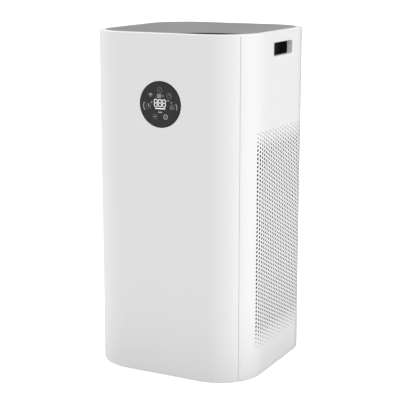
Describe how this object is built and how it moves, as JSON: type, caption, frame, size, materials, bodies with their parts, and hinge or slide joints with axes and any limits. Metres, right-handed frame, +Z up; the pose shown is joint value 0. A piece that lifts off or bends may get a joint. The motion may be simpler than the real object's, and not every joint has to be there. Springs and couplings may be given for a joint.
{
  "type": "air purifier",
  "caption": "Floor-standing tower air purifier with a rounded square body, perforated sides, a round display and a recessed top outlet.",
  "frame": {"origin": "on the floor, under the middle of the body", "axes": "+Z up; the front with the display faces -Y; +X is to the right when looking along +Y"},
  "size_m": [0.38, 0.38, 0.738],
  "materials": {
    "shell_white": "moulded, low satin gloss",
    "dish_grey": "fine satin, grey",
    "vent_black": "fine texture, black",
    "display_black": "polished dark lens",
    "inner_grey": "moulded, light grey",
    "impeller_grey": "moulded, dark grey",
    "socket_black": "moulded, black",
    "switch_tip": "moulded, orange",
    "foot_rubber": "matt rubber",
    "filter_frame": "moulded, blue grey",
    "gasket_foam": "closed-cell foam",
    "media_paper": "pleated glass-fibre paper",
    "carbon_black": "bonded carbon granules",
    "prefilter_net": "moulded net",
    "tab_plastic": "moulded strap",
    "motor_metal": "pressed, plain",
    "motor_iron": "bare, dark",
    "steel": "bright zinc plate",
    "circuit_green": "solder mask, green"
  },
  "bodies": {
    "cabinet": {"front_panel": "shell_white", "side_panel_left": "shell_white", "side_panel_right": "shell_white", "rear_skirt": "shell_white", "top_frame": "shell_white", "handle_sleeve_left": "shell_white", "handle_sleeve_right": "shell_white", "outlet_dish": "dish_grey", "outlet_grille": "vent_black", "grille_cap": "vent_black", "handle_pocket_left": "vent_black", "handle_pocket_right": "vent_black", "sensor_bezel": "vent_black", "display_lens": "display_black", "base_tray": "inner_grey", "corner_posts": "inner_grey", "filter_platform": "inner_grey", "power_cover": "inner_grey", "fan_deck": "inner_grey", "fan_housing": "inner_grey", "guide_vane_ring": "inner_grey", "inlet_bellmouth": "inner_grey", "air_duct": "inner_grey", "display_housing": "inner_grey", "power_socket": "socket_black", "interlock_switch": "socket_black", "particle_sensor": "socket_black", "feet": "foot_rubber", "motor_case": "motor_metal", "motor_stator": "motor_iron", "catch_magnets": "motor_iron", "motor_bearings": "steel", "motor_screws": "steel", "base_screws": "steel", "deck_screws": "steel", "frame_screws": "steel", "sensor_hinge_pin": "steel", "socket_pins": "steel", "power_board": "circuit_green", "control_board": "circuit_green", "display_board": "circuit_green"},
    "filter_door": {"rear_door": "shell_white", "door_cup": "shell_white", "door_plates": "steel"},
    "filter": {"filter_cap_bottom": "filter_frame", "filter_cap_top": "filter_frame", "filter_gasket": "gasket_foam", "filter_media": "media_paper", "carbon_core": "carbon_black", "prefilter_sleeve": "prefilter_net", "filter_pull_tab": "tab_plastic"},
    "fan_rotor": {"impeller": "impeller_grey", "impeller_nut": "steel", "motor_shaft": "steel", "motor_rotor": "motor_iron"},
    "interlock_plunger": {"interlock_plunger": "switch_tip"},
    "sensor_cover": {"sensor_cover": "shell_white"}
  },
  "joints": [
    {"name": "door_pull", "type": "slide", "parent": "cabinet", "child": "filter_door", "axis": [0, 1, 0], "range_m": [0, 0.5]},
    {"name": "filter_pull", "type": "slide", "parent": "cabinet", "child": "filter", "axis": [0, 1, 0], "range_m": [0, 0.33]},
    {"name": "fan_spin", "type": "hinge", "parent": "cabinet", "child": "fan_rotor", "pos_m": [0, 0, 0.59], "axis": [0, 0, 1], "continuous": true},
    {"name": "plunger_slide", "type": "slide", "parent": "cabinet", "child": "interlock_plunger", "axis": [0, 1, 0], "range_m": [0, 0.003]},
    {"name": "sensor_cover_hinge", "type": "hinge", "parent": "cabinet", "child": "sensor_cover", "pos_m": [-0.1885, 0.05, 0.6018], "axis": [0, -1, 0], "range_deg": [0, 90]}
  ],
  "couplings": [
    {"joint": "filter_pull", "follows": "door_pull", "ratio": 0.66},
    {"joint": "plunger_slide", "follows": "door_pull", "ratio": 0.006}
  ]
}
